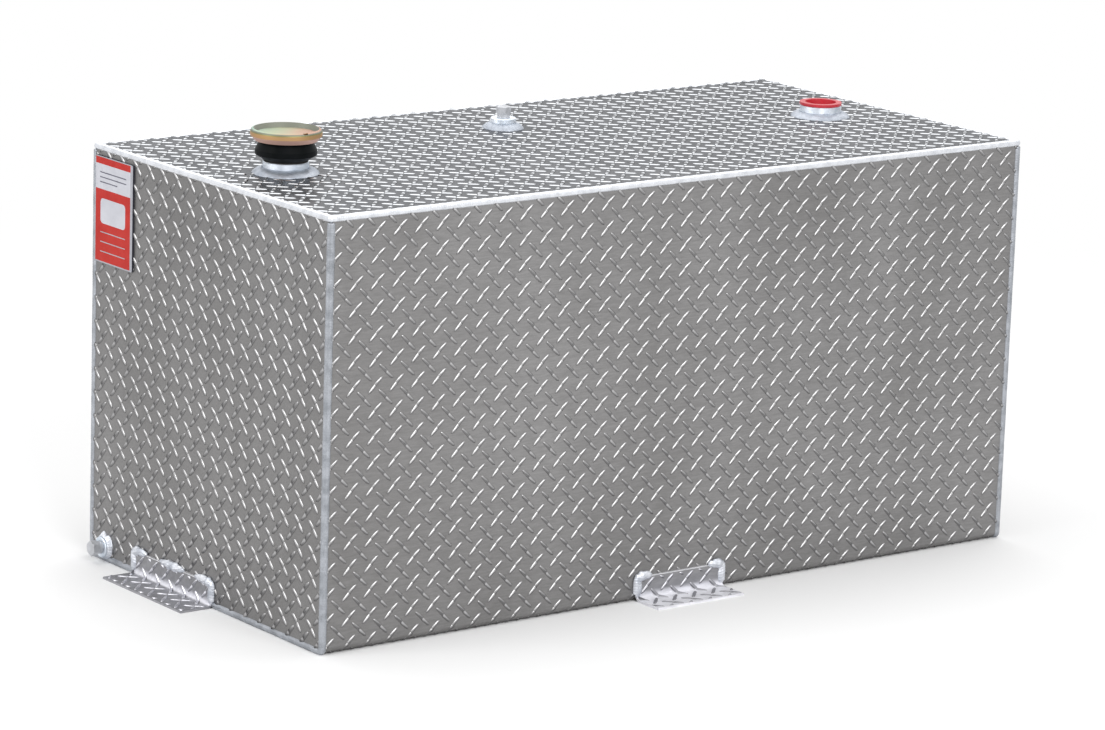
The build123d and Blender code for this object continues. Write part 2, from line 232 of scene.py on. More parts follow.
def turned_material(name, dark, light, rough):
    """Machined aluminium: fine turning rings and soft stains."""
    mat, tree, bsdf = new_material(name)
    stain = ramp(tree, grain(tree, 45.0, 3.0, 0.5), [(0.35, dark), (0.65, light)])
    tree.links.new(stain, bsdf.inputs["Base Color"])
    wave = node(tree, "ShaderNodeTexWave", {"Scale": 1500.0, "Distortion": 0.4}, bands_direction="Z")
    tree.links.new(object_coords(tree), wave.inputs["Vector"])
    bumped(tree, bsdf, wave.outputs["Fac"], 0.00003)
    wear = spread(tree, grain(tree, 120.0, 3.0, 0.5), rough - 0.05, rough + 0.1)
    tree.links.new(wear, bsdf.inputs["Roughness"])
    bsdf.inputs["Metallic"].default_value = 1.0
    return mat


def coated_material(name, dark, light, rough, scale, metal=0.0, bump=0.00008, coat=0.0, shine=0.5):
    """Plastic, rubber, paint or print with soft variation and a fine texture."""
    mat, tree, bsdf = new_material(name)
    body = ramp(tree, grain(tree, scale, 4.0, 0.6), [(0.3, dark), (0.7, light)])
    tree.links.new(body, bsdf.inputs["Base Color"])
    wear = spread(tree, grain(tree, scale * 2.5, 3.0, 0.5), rough - 0.06, rough + 0.1)
    tree.links.new(wear, bsdf.inputs["Roughness"])
    bsdf.inputs["Metallic"].default_value = metal
    bsdf.inputs["Coat Weight"].default_value = coat
    bsdf.inputs["Specular IOR Level"].default_value = shine
    if bump:
        bumped(tree, bsdf, grain(tree, scale * 12, 2.0, 0.5), bump)
    return mat


def bracket_material(name, foot, foot_metal):
    """Tread plate angle with light painted by height: the given foot colour, a bend painted pale as if lit
    from above, a darker leg and a thin painted highlight along the top edge, with rubbed streaks over all.
    """
    mat, tree, bsdf = new_material(name)
    coords = node(tree, "ShaderNodeTexCoord")
    split = node(tree, "ShaderNodeSeparateXYZ")
    tree.links.new(coords.outputs["Object"], split.inputs["Vector"])
    height = node(tree, "ShaderNodeMapRange", {"From Min": 0.0, "From Max": bracket_height})
    tree.links.new(split.outputs["Z"], height.inputs["Value"])
    # Painted light: a pale bend as if lit from above, a darker leg and a painted highlight on the top edge.
    body = ramp(
        tree,
        height.outputs["Result"],
        [
            (0.10, foot),
            (0.14, (0.86, 0.86, 0.92)),
            (0.24, (0.84, 0.84, 0.90)),
            (0.42, (0.36, 0.36, 0.38)),
            (0.95, (0.32, 0.318, 0.33)),
            (0.98, (0.85, 0.85, 0.88)),
        ],
    )
    rubbed = ramp(tree, grain(tree, 160.0, 4.0, 0.6, (0.25, 1, 1)), [(0.3, 0.78), (0.62, 1.0)])
    tree.links.new(mixed(tree, 1.0, body, rubbed, "MULTIPLY"), bsdf.inputs["Base Color"])
    metal_stops = [(0.10, foot_metal), (0.14, 0.12), (0.16, 0.12), (0.42, 0.85)]
    metal = ramp(tree, height.outputs["Result"], metal_stops)
    tree.links.new(metal, bsdf.inputs["Metallic"])
    wear = spread(tree, grain(tree, 90.0, 3.0, 0.5), 0.38, 0.56)
    tree.links.new(wear, bsdf.inputs["Roughness"])
    bumped(tree, bsdf, grain(tree, 400.0, 3.0, 0.6), 0.00008)
    return mat


def plated_material(name, centre):
    """Yellow zinc plating: green to peach over the dish, copper and pink below, and painted shade as dark
    olive on the lip.
    """
    mat, tree, bsdf = new_material(name)
    coords = node(tree, "ShaderNodeTexCoord")
    turn = node(tree, "ShaderNodeMapping", {"Location": (-centre[0], -centre[1], 0)})
    tree.links.new(coords.outputs["Object"], turn.inputs["Vector"])
    across = node(tree, "ShaderNodeVectorMath", operation="DOT_PRODUCT")
    tree.links.new(turn.outputs["Vector"], across.inputs[0])
    across.inputs[1].default_value = (0.76, -0.65, 0)
    drift = node(tree, "ShaderNodeMapRange", {"From Min": -0.05, "From Max": 0.05})
    tree.links.new(across.outputs["Value"], drift.inputs["Value"])
    wobble = node(tree, "ShaderNodeMath", operation="MULTIPLY_ADD")
    tree.links.new(grain(tree, 30.0, 2.0, 0.5), wobble.inputs[0])
    wobble.inputs[1].default_value = 0.3
    tree.links.new(drift.outputs["Result"], wobble.inputs[2])
    dish = ramp(
        tree,
        wobble.outputs["Value"],
        [
            (0.15, (0.29, 0.40, 0.33)),
            (0.50, (0.37, 0.40, 0.27)),
            (0.80, (0.45, 0.33, 0.23)),
            (1.00, (0.44, 0.27, 0.20)),
        ],
    )
    facing = node(tree, "ShaderNodeNewGeometry")
    upward = node(tree, "ShaderNodeSeparateXYZ")
    tree.links.new(facing.outputs["Normal"], upward.inputs["Vector"])
    level = node(tree, "ShaderNodeMapRange", {"From Min": -1.0, "From Max": 1.0})
    tree.links.new(upward.outputs["Z"], level.inputs["Value"])
    # Painted shade: faces that slope partly up, on the lip, are dark olive.
    side = ramp(
        tree,
        level.outputs["Result"],
        [
            (0.18, (0.60, 0.38, 0.31)),
            (0.42, (0.50, 0.28, 0.15)),
            (0.55, (0.40, 0.26, 0.11)),
            (0.64, (0.19, 0.18, 0.07)),
            (0.80, (0.20, 0.21, 0.18)),
        ],
    )
    flat = ramp(tree, level.outputs["Result"], [(0.82, 0.0), (0.93, 1.0)])
    tree.links.new(mixed(tree, flat, side, dish), bsdf.inputs["Base Color"])
    wear = spread(tree, grain(tree, 120.0, 3.0, 0.5), 0.40, 0.54)
    tree.links.new(wear, bsdf.inputs["Roughness"])
    bsdf.inputs["Metallic"].default_value = 0.75
    return mat


def card_material(name, dark, light):
    """Matt print on the card."""
    return coated_material(name, dark, light, 0.5, 40.0, bump=0, shine=0.15)


looks = {
    "plate": plate_material("tread_plate_field", (0.262, 0.257, 0.255), (0.328, 0.323, 0.323), 0.46),
    # Painted light: a lighter copy of the same field for the top, as if lit from above.
    "top_plate": plate_material(
        "tread_plate_top_field", (0.395, 0.404, 0.425), (0.505, 0.514, 0.534), 0.27, 0.35
    ),
    "bar": bar_material("tread_plate_bar", (0.10, 0.098, 0.096), (0.425, 0.421, 0.425), 0.36),
    # Painted highlight: the top's bars take a lighter crest than the bars on the sides.
    "top_bar": bar_material("tread_plate_top_bar", (0.085, 0.088, 0.095), (0.62, 0.633, 0.653), 0.26),
    # Painted light: lit and shaded copies of one bracket bar, the end brackets' bars with the lighter
    # crest.
    "bracket_bar": bar_material("bracket_bar", (0.30, 0.30, 0.32), (0.45, 0.45, 0.48), 0.46, 0.6),
    "end_bracket_bar": bar_material(
        "end_bracket_bar", (0.24, 0.24, 0.26), (0.80, 0.80, 0.85), 0.40, 0.6
    ),
    # Painted light: lit and shaded copies of one bracket plate, the front and rear feet painted near white
    # and non-metallic as if lit, the end feet grey metal.
    "bracket": bracket_material("bracket_tread_plate", (0.88, 0.88, 0.93), 0.12),
    "end_bracket": bracket_material("end_bracket_tread_plate", (0.40, 0.40, 0.425), 0.85),
    "ring_bead": weld_material("weld_bead_fittings", (0.33, 0.36, 0.41), (0.46, 0.49, 0.54), 0.5),
    "bead": weld_material("weld_bead_bright", (0.64, 0.66, 0.70), (0.80, 0.82, 0.86), 0.34),
    "patch_bead": weld_material("weld_bead_brackets", (0.52, 0.55, 0.61), (0.78, 0.80, 0.85), 0.42),
    "corner_bead": weld_material("weld_bead_corner", (0.295, 0.312, 0.34), (0.43, 0.45, 0.487), 0.38),
    "turned": turned_material("turned_aluminium", (0.58, 0.65, 0.73), (0.82, 0.86, 0.92), 0.42),
    "grey_plug": coated_material("grey_plug_iron", (0.42, 0.43, 0.45), (0.58, 0.59, 0.62), 0.5, 90.0, 0.6),
    "red": coated_material(
        "red_plug_plastic",
        (0.48, 0.020, 0.034),
        (0.58, 0.034, 0.052),
        0.36,
        60.0,
        bump=0.00003,
        coat=0.1,
    ),
    "black": coated_material(
        "black_cap_plastic",
        (0.002, 0.003, 0.003),
        (0.006, 0.007, 0.008),
        0.42,
        50.0,
        bump=0.00004,
        shine=0.05,
    ),
    "rubber": coated_material(
        "gasket_rubber_ring", (0.008, 0.008, 0.008), (0.022, 0.020, 0.018), 0.7, 120.0, shine=0.2
    ),
    "card_edge": coated_material(
        "label_card_edge", (0.012, 0.012, 0.020), (0.030, 0.030, 0.045), 0.5, 90.0
    ),
    "card_white": card_material("label_card_white", (0.50, 0.505, 0.55), (0.58, 0.585, 0.63)),
    "card_grey": card_material("label_card_grey", (0.33, 0.335, 0.37), (0.41, 0.415, 0.45)),
    "card_red": card_material("label_card_red", (0.42, 0.022, 0.016), (0.49, 0.034, 0.026)),
    "card_dark": card_material("label_card_dark", (0.10, 0.10, 0.13), (0.16, 0.16, 0.20)),
    "plated": plated_material("plated_cover_gold", fill_place),
}


# Mesh helpers
def finish_piece(name, mesh, material, body="tank", hides=()):
    """Makes the mesh a piece of a body and gives it its looks."""
    piece = bpy.data.objects.new(name, mesh)
    bpy.context.scene.collection.objects.link(piece)
    for one in material if isinstance(material, (list, tuple)) else [material]:
        mesh.materials.append(looks[one])
    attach(piece, body)
    if hides:
        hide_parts(*hides)


def mesh_from(bm, name, smooth=True):
    """Mesh of a bmesh, with its faces turned outward."""
    mesh = bpy.data.meshes.new(name)
    bmesh.ops.recalc_face_normals(bm, faces=bm.faces)
    for face in bm.faces:
        face.smooth = smooth
    bm.to_mesh(mesh)
    bm.free()
    return mesh


# Raised bars of the tread plate
bar_length = 32.5 * mm
bar_width = 5.8 * mm
bar_height = tread
bar_sink = 0.25 * mm
bar_jog = 0.35 * mm
bar_nick = 0.2
bar_blunt = 6
bar_lean = math.radians(43)
bar_sway = 0.02
bar_stray = 0.2 * mm
bar_lowest = 0.92
bar_stations = (-1.0, -0.95, -0.78, -0.08, 0.0, 0.08, 0.78, 0.95, 1.0)
bar_across = (-1.0, -0.68, -0.36, 0.0, 0.36, 0.68, 1.0)
bar_rise = (0.0, 0.55, 0.90, 1.0, 0.90, 0.55, 0.0)


def bar_template():
    """One bar lying along its first axis: points, crest heights and faces."""
    points, crest, rows = [], [], []
    for t in bar_stations:
        taper = 1 - abs(t) ** bar_blunt
        wide = 0.5 * bar_width * taper ** 0.7
        tall = taper ** 0.5 * (bar_nick if t == 0 else 1)
        jog = bar_jog * (t > 0) - bar_jog * (t < 0)
        if abs(t) == 1.0:
            rows.append([len(points)])
            points.append((t * bar_length / 2, jog, -bar_sink))
            crest.append(0.0)
            continue
        rows.append(list(range(len(points), len(points) + len(bar_across))))
        for b, r in zip(bar_across, bar_rise):
            rise = -bar_sink if abs(b) == 1.0 else r * tall * bar_height
            points.append((t * bar_length / 2, b * wide + jog, rise))
            crest.append(r * tall)
    faces = []
    for a, b in zip(rows, rows[1:]):
        if len(a) == 1:
            faces += [(a[0], b[i], b[i + 1])[::-1] for i in range(len(b) - 1)]
        elif len(b) == 1:
            faces += [(a[i], b[0], a[i + 1])[::-1] for i in range(len(a) - 1)]
        else:
            faces += [(a[i], b[i], b[i + 1], a[i + 1]) for i in range(len(a) - 1)]
    rim = rows[0] + [r[0] for r in rows[1:-1]] + rows[-1] + [r[-1] for r in rows[-2:0:-1]]
    return np.array(points), np.array(crest), faces, rim


template_points, template_crest, template_faces, template_rim = bar_template()


def lattice(start, pitch, low, high):
    """Bar centres in a rectangle: (u, v, +1 for a rising bar, -1 for a falling one)."""
    made = []
    for side, (du, dv) in ((1, (0.0, 0.0)), (-1, (0.5, 0.5))):
        first_u = start[0] + du * pitch[0]
        first_v = start[1] + dv * pitch[1]
        i0 = math.floor((low[0] - first_u - bar_length / 2) / pitch[0])
        i1 = math.ceil((high[0] - first_u + bar_length / 2) / pitch[0])
        j0 = math.floor((low[1] - first_v - bar_length / 2) / pitch[1])
        j1 = math.ceil((high[1] - first_v + bar_length / 2) / pitch[1])
        for i in range(i0, i1 + 1):
            for j in range(j0, j1 + 1):
                made.append((first_u + i * pitch[0], first_v + j * pitch[1], side))
    return made


def trim(bm, low, high):
    """Cuts flat bars off at the limits of their pattern and closes the cuts."""
    for axis in (0, 1):
        for sign, limit in ((-1, low[axis]), (1, high[axis])):
            at, outward = [0, 0, 0], [0, 0, 0]
            at[axis] = limit
            outward[axis] = sign
            cut = bmesh.ops.bisect_plane(
                bm,
                geom=bm.verts[:] + bm.edges[:] + bm.faces[:],
                plane_co=at,
                plane_no=outward,
                clear_outer=True,
            )
            edges = [e for e in cut["geom_cut"] if isinstance(e, bmesh.types.BMEdge)]
            if edges:
                bmesh.ops.edgenet_fill(bm, edges=edges)


def tread_bars(name, lay, start, pitch, low, high, material, keep=None, broad=1.0):
    """Bars inside low..high of a flat pattern, cut there, then laid on the sheet by lay(u, v, h)."""
    bm = bmesh.new()
    crest_layer = bm.verts.layers.float.new("crest")
    reach = bar_length / 2
    for u, v, side in lattice(start, pitch, low, high):
        if not (low[0] - reach < u < high[0] + reach and low[1] - reach < v < high[1] + reach):
            continue
        if keep and not keep(u, v):
            continue
        turn = side * (bar_lean + dice.uniform(-bar_sway, bar_sway))
        tall = dice.uniform(bar_lowest, 1.0)
        x = template_points[:, 0]
        y = template_points[:, 1] * side * broad
        us = u + x * math.cos(turn) - y * math.sin(turn) + dice.uniform(-bar_stray, bar_stray)
        vs = v + x * math.sin(turn) + y * math.cos(turn) + dice.uniform(-bar_stray, bar_stray)
        hs = np.where(template_points[:, 2] > 0, template_points[:, 2] * tall, template_points[:, 2])
        made = [bm.verts.new(p) for p in zip(us, vs, hs)]
        for vert, value in zip(made, template_crest):
            vert[crest_layer] = value
        order = -1 if side < 0 else 1
        for face in template_faces:
            bm.faces.new([made[i] for i in face][::order]).smooth = True
        bm.faces.new([made[i] for i in template_rim][::-order]).smooth = False
    trim(bm, low, high)
    for face in bm.faces:
        if not face.smooth:
            for edge in face.edges:
                edge.smooth = False
    for vert in bm.verts:
        vert.co = lay(*vert.co)
    bmesh.ops.recalc_face_normals(bm, faces=bm.faces)
    mesh = bpy.data.meshes.new(name)
    bm.to_mesh(mesh)
    bm.free()
    finish_piece(name, mesh, material)


# Bars on the folded sheet, laid along it
straight = roof_low - floor_low - wrap_bend
bend_arc = wrap_bend * quarter
under = 2 * (half_depth - wrap_bend)
bend_y = half_depth - wrap_bend
bend_z = floor_low + wrap_bend


def on_wrap(u, v, h):
    """Point h off the folded sheet, -v along it from the top of its front, u along the tank."""
    s = -v
    if s < straight:
        return (u, -half_depth - h, roof_low - s)
    s -= straight
    if s < bend_arc:
        a = s / wrap_bend
        return (u, -bend_y - (wrap_bend + h) * math.cos(a), bend_z - (wrap_bend + h) * math.sin(a))
    s -= bend_arc
    if s < under:
        return (u, -bend_y + s, floor_low - h)
    s -= under
    if s < bend_arc:
        a = s / wrap_bend
        return (u, bend_y + (wrap_bend + h) * math.sin(a), bend_z - (wrap_bend + h) * math.cos(a))
    s -= bend_arc
    return (u, half_depth + h, bend_z + s)


wrap_pitch = (34.83 * mm, 35.5 * mm)
wrap_start = (-566.5 * mm, -20.4 * mm)
side_limit = 603.5 * mm
wrap_top = -1.8 * mm
front_end = -(straight + bend_arc)
back_start = front_end - under
wrap_end = back_start - bend_arc - straight - wrap_top


def clear_of(boxes, rounds=()):
    """Keeps bars with centres outside each box (u0, v0, u1, v1) and each circle (u, v, r)."""

    def keep(u, v):
        boxed = any(a < u < c and b < v < d for a, b, c, d in boxes)
        return not boxed and all(math.hypot(u - a, v - b) > r for a, b, r in rounds)

    return keep


front_cover = 65.0 * mm
end_cover = 92.0 * mm
foot_cover = 24.0 * mm
front_foot = (
    front_bracket_shift - front_cover,
    front_end - bar_length,
    front_bracket_shift + front_cover,
    foot_cover - roof_low,
)
for name, low, high, keep in (
    ("tread_front", (-side_limit, front_end), (side_limit, wrap_top), clear_of([front_foot])),
    ("tread_bottom", (-side_limit, back_start), (side_limit, front_end), None),
    ("tread_back", (-side_limit, wrap_end), (side_limit, back_start), None),
):
    tread_bars(name, on_wrap, wrap_start, wrap_pitch, low, high, "bar", keep)


# Bars on the two ends
end_pitch = (35.1 * mm, 34.7 * mm)
left_start = (-307.0 * mm, 14.6 * mm)
right_start = (-280.0 * mm, 20.0 * mm)
end_low = (-292.5 * mm, 7.0 * mm)
end_high = (292.5 * mm, 598.0 * mm)
end_broad = 1.35
card_cover = 7.5 * mm
behind_card = (
    -card_place[0] - card_size[0] / 2 + card_cover,
    card_place[1] - card_size[1] / 2 + card_cover,
    -card_place[0] + card_size[0] / 2 - card_cover,
    card_place[1] + card_size[1] / 2 - card_cover,
)
left_foot = (-end_bracket_shift - end_cover, 0, -end_bracket_shift + end_cover, foot_cover)
right_foot = (end_bracket_shift - end_cover, 0, end_bracket_shift + end_cover, foot_cover)
drain_cover = (-drain_place[0], drain_place[1], 12.0 * mm)


def on_left(u, v, h):
    """Point h off the left end, u towards its front and v up."""
    return (-half_length - h, -u, v)


def on_right(u, v, h):
    """Point h off the right end, u towards its back and v up."""
    return (half_length + h, u, v)


left_keep = clear_of([behind_card, left_foot], [drain_cover])
right_keep = clear_of([right_foot])
tread_bars("tread_left", on_left, left_start, end_pitch, end_low, end_high, "bar", left_keep, end_broad)
tread_bars("tread_right", on_right, right_start, end_pitch, end_low, end_high, "bar", right_keep, end_broad)


# Bars on the top
top_pitch = (34.9 * mm, 35.0 * mm)
top_start = (-573.5 * mm, -282.0 * mm)
top_low = (-603.0 * mm, -292.5 * mm)
top_high = (603.0 * mm, 292.5 * mm)
top_broad = 1.25
fitting_covers = [(*fill_place, 42.0 * mm), (*vent_place, 24.0 * mm), (*pump_place, 40.0 * mm)]


def on_top(u, v, h):
    """Point h off the top, u along the tank and v towards its back."""
    return (u, v, tank_top + h)


top_keep = clear_of([], fitting_covers)
tread_bars("tread_top", on_top, top_start, top_pitch, top_low, top_high, "top_bar", top_keep, top_broad)


# Bars on the hold-down brackets
bracket_leg = bracket_height - sheet - bracket_throat
bracket_arc = bracket_throat * quarter
bracket_run = bracket_leg + bracket_arc + bracket_reach - sheet - bracket_throat
bracket_edge = 2.0 * mm
bracket_top = -3.0 * mm
bracket_start = (17.0 * mm, -14.0 * mm)
bracket_pitch = (34.8 * mm, 35.0 * mm)


def on_bracket(turn, shift, wall):
    """Lays a bar on a bracket: v runs down the leg, round the throat and out along the foot."""
    matrix = Matrix.Rotation(turn, 4, "Z") @ Matrix.Translation((shift, -wall, 0))

    def lay(u, v, h):
        s = -v
        if s < bracket_leg:
            point = (u, -sheet - h, bracket_height - s)
        elif s < bracket_leg + bracket_arc:
            a = (s - bracket_leg) / bracket_throat
            r = bracket_throat - h
            near, deep = r * math.cos(a), r * math.sin(a)
            point = (u, -sheet - bracket_throat + near, sheet + bracket_throat - deep)
        else:
            point = (u, -sheet - bracket_throat - (s - bracket_leg - bracket_arc), sheet + h)
        return matrix @ Vector(point)

    return lay


for side, (turn, width, shift, wall) in brackets.items():
    half = width / 2 - bracket_edge
    lay = on_bracket(math.radians(turn), shift, wall)
    start = (-half + bracket_start[0], bracket_start[1])
    low, high = (-half, -bracket_run + bracket_edge), (half, bracket_top)
    look = "bracket_bar" if side in ("front", "rear") else "end_bracket_bar"
    tread_bars(f"tread_bracket_{side}", lay, start, bracket_pitch, low, high, look)


# Seam welds: beads with fine overlapping ripples
def wander(run, seed, scale, size):
    """Smooth pseudo-random value within +-size along a bead."""
    return size * noise.noise(Vector((run * scale, seed * 7.31, seed * 1.7)))


def bead_loop(bm, path, closed, section):
    """Skins rings of section(s) along path of (s, (point, across, up))."""
    rings = []
    for s, (point, across, up) in path:
        rings.append([bm.verts.new(point + across * a + up * b) for a, b in section(s)])
    pairs = list(zip(rings, rings[1:]))
    if closed:
        pairs.append((rings[-1], rings[0]))
    for r0, r1 in pairs:
        for i in range(len(r0)):
            j = (i + 1) % len(r0)
            bm.faces.new((r0[i], r0[j], r1[j], r1[i]))
    if not closed:
        bm.faces.new(rings[0])
        bm.faces.new(rings[-1][::-1])


ripple_pitch = 3.6 * mm
ripple_step = 0.9 * mm
ripple_lag = 1.6 * mm
ripple_drift = 1.2 * mm
bead_lump = 0.25 * mm
bead_lowest = 0.2 * mm
bead_steps = 12


def bead_section(radius, low, high, seed, depth=0.22 * mm):
    """Section in (out, up) of a bead from angle low to high, closed through its corner."""

    def section(s):
        made = []
        for k in range(bead_steps + 1):
            a = low + (high - low) * k / bead_steps
            lag = abs(k / bead_steps - 0.5) * ripple_lag
            phase = ((s + lag + wander(s, seed, 40, ripple_drift)) / ripple_pitch) % 1.0
            lump = depth * (math.sin(math.pi * phase) - 0.6) + wander(s, seed + 3, 25, bead_lump)
            r = radius + (lump if 0 < k < bead_steps else 0)
            made.append((r * math.cos(a), r * math.sin(a)))
        made.append((0.0, 0.0))
        return made

    return section


def seated(section, radius):
    """The section with its two ends set square on the sheets of the corner."""

    def shaped(s):
        made = section(s)
        made[0] = (0.0, -radius)
        made[-2] = (-radius, 0.0)
        return made

    return shaped


def top_seam():
    """Bead round the top, mitred at its four corners."""
    bm = bmesh.new()
    x, y, z = inner_length, inner_depth, roof_low
    corners = [(-x, -y), (x, -y), (x, y), (-x, y)]
    path = []
    run = 0.0
    turn_run = 4.0 * mm
    upward = Vector((0, 0, 1))
    for k in range(4):
        a, b = Vector((*corners[k], z)), Vector((*corners[(k + 1) % 4], z))
        along = (b - a).normalized()
        out = Vector((along.y, -along.x, 0))
        length = (b - a).length
        count = round(length / ripple_step)
        for i in range(1, count):
            path.append((run + length * i / count, (a.lerp(b, i / count), out, upward)))
        run += length
        following = Vector(corners[(k + 2) % 4] + (z,)) - b
        nxt = following.normalized()
        out_next = Vector((nxt.y, -nxt.x, 0))
        for part in (0.0, 0.25, 0.5, 0.75, 1.0):
            swing = out.slerp(out_next, part) if 0 < part < 1 else (out if part == 0 else out_next)
            path.append((run + part * turn_run, (b, swing, upward)))
    bead_loop(bm, path, True, seated(bead_section(top_bead, -quarter, math.pi, 1), top_bead))
    mesh = mesh_from(bm, "top_seam_bead")
    finish_piece("top_seam_bead", mesh, "bead", hides=["top_seam_weld"])


top_seam()


def end_seam(side, hides, name):
    """Bead down both corners and along the foot of an end."""
    bm = bmesh.new()
    x, y = side * inner_length, inner_depth
    top, foot = roof_low - top_bead - bead_gap, floor_high
    bend, bend_steps = end_bend, 8
    points = []
    for i in range(round((top - foot - bend) / ripple_step) + 1):
        points.append((Vector((x, -y, top - i * ripple_step)), Vector((0, -1, 0))))
    for i in range(1, bend_steps):
        a = quarter * i / bend_steps
        centre = Vector((x, -y + bend, foot + bend))
        out = Vector((0, -math.cos(a), -math.sin(a)))
        points.append((centre + out * bend, out))
    count = round(2 * (y - bend) / ripple_step)
    for i in range(count + 1):
        along = -y + bend + 2 * (y - bend) * i / count
        points.append((Vector((x, along, foot)), Vector((0, 0, -1))))
    for i in range(1, bend_steps):
        a = quarter * i / bend_steps
        centre = Vector((x, y - bend, foot + bend))
        out = Vector((0, math.sin(a), -math.cos(a)))
        points.append((centre + out * bend, out))
    for i in range(round((top - foot - bend) / ripple_step) + 1):
        points.append((Vector((x, y, foot + bend + i * ripple_step)), Vector((0, 1, 0))))
    axis = Vector((side, 0, 0))
    path, run, last = [], 0.0, None
    for point, out in points:
        run += (point - last).length if last else 0.0
        last = point
        path.append((run, (point, axis, out)))
    section = bead_section(end_bead, -quarter, math.pi, 2 + side, 0.3 * mm)
    bead_loop(bm, path, False, seated(section, end_bead))
    for vert in bm.verts:
        vert.co.z = max(vert.co.z, bead_lowest)
    mesh = mesh_from(bm, name)
    finish_piece(name, mesh, "corner_bead", hides=hides)


end_seam(-1, ["end_seam_weld_left"], "end_seam_bead_left")
end_seam(1, ["end_seam_weld_right"], "end_seam_bead_right")


# Fillet welds round the fittings
ring_steps = 168
ring_rows = 8
ring_ripple_pitch = 4.2 * mm
ring_ripple = 0.4 * mm


def ring_weld(name, matrix, inner, outer, height, seed, material="ring_bead", uneven=0.06, low=0.0):
    """Lumpy fillet with ripples round a bung that stands on z = 0 of matrix."""
    bm = bmesh.new()
    beads = round(2 * math.pi * (inner + outer) / 2 / ring_ripple_pitch)
    rings = []
    for i in range(ring_steps):
        a = 2 * math.pi * i / ring_steps
        around = Vector((math.cos(a), math.sin(a), 0))
        wave = noise.noise(around * 2.3 + Vector((seed, 0, 0)))
        toe = outer * (1 + uneven * wave)
        tall = height * (1 + 0.12 * noise.noise(around * 3.1 + Vector((0, seed, 0))))
        ring = [(inner, 0.0), (toe, 0.0)]
        for k in range(1, ring_rows):
            t = k / ring_rows
            phase = (beads * i / ring_steps + 0.35 * math.sin(math.pi * t)) % 1.0
            lump = ring_ripple * (math.sin(math.pi * phase) - 0.5) * math.sin(math.pi * t)
            r = toe + (inner - toe) * t
            z = tall * t
            hollow = math.sin(math.pi * t) * 0.10 * (toe - inner)
            ring.append((r + hollow * 0.7 + lump, z + hollow * 0.7 + lump))
        ring.append((inner, tall))
        rings.append([bm.verts.new(matrix @ (around * r + Vector((0, 0, z)))) for r, z in ring])
    for r0, r1 in zip(rings, rings[1:] + rings[:1]):
        for i in range(len(r0)):
            j = (i + 1) % len(r0)
            bm.faces.new((r0[i], r0[j], r1[j], r1[i]))
    for vert in bm.verts:
        vert.co.z = max(vert.co.z, low)
    mesh = mesh_from(bm, f"{name}_bead")
    finish_piece(f"{name}_bead", mesh, material, hides=[f"{name}_weld"])


for name, (x, y), inner, outer, height, seed in (
    ("fill_neck", fill_place, 32.2 * mm, 47.5 * mm, 9.0 * mm, 1.0),
    ("vent_bung", vent_place, 18.7 * mm, 31.0 * mm, 9.0 * mm, 2.0),
    ("pump_bung", pump_place, 31.2 * mm, 45.0 * mm, 8.0 * mm, 3.0),
):
    ring_weld(name, Matrix.Translation((x, y, tank_top)), inner, outer, height, seed)
drain_at = Matrix.Translation((-half_length, *drain_place)) @ Matrix.Rotation(-quarter, 4, "Y")
ring_weld("drain_bung", drain_at, 15.2 * mm, 20.4 * mm, 7.0 * mm, 4.0, "patch_bead", 0.2, 0.4 * mm)


# Welds on the brackets, grown from the solids' own shape
weld_voxel = 1.1 * mm
weld_ripple_pitch = 4.0 * mm
weld_ripple = 0.25 * mm
weld_lump = 0.6 * mm
weld_shrink = 0.1 * mm


def lumpy(name, source, material, lumps, turn):
    """Remeshed copy of a weld solid with its blobs drawn out, then rippled and dented."""
    bm = bmesh.new()
    bm.from_mesh(nodes[source].data)
    for at, size in lumps:
        shape = Matrix.LocRotScale(at, Matrix.Rotation(turn, 3, "Z"), size)
        bmesh.ops.create_uvsphere(bm, u_segments=24, v_segments=12, radius=1.0, matrix=shape)
    mesh = bpy.data.meshes.new(name)
    bm.to_mesh(mesh)
    bm.free()
    piece = bpy.data.objects.new(name, mesh)
    bpy.context.scene.collection.objects.link(piece)
    joined = piece.modifiers.new("voxels", "REMESH")
    joined.mode = "VOXEL"
    joined.voxel_size = weld_voxel
    soft = piece.modifiers.new("soften", "SMOOTH")
    soft.factor = 0.5
    soft.iterations = 2
    graph = bpy.context.evaluated_depsgraph_get()
    made = bpy.data.meshes.new_from_object(piece.evaluated_get(graph))
    bpy.data.objects.remove(piece)
    bm = bmesh.new()
    bm.from_mesh(made)
    bm.normal_update()
    for vert in bm.verts:
        swirl = 3 * math.sin((vert.co.x + vert.co.y) * 180)
        ripple = math.sin(vert.co.z * 2 * math.pi / weld_ripple_pitch + swirl)
        push = weld_ripple * ripple + weld_lump * noise.noise(vert.co * 140)
        vert.co += vert.normal * (push - weld_shrink)
        vert.co.z = max(vert.co.z, bead_lowest)
    bm.to_mesh(made)
    bm.free()
    for face in made.polygons:
        face.use_smooth = True
    made.name = name
    finish_piece(name, made, material, hides=[source])


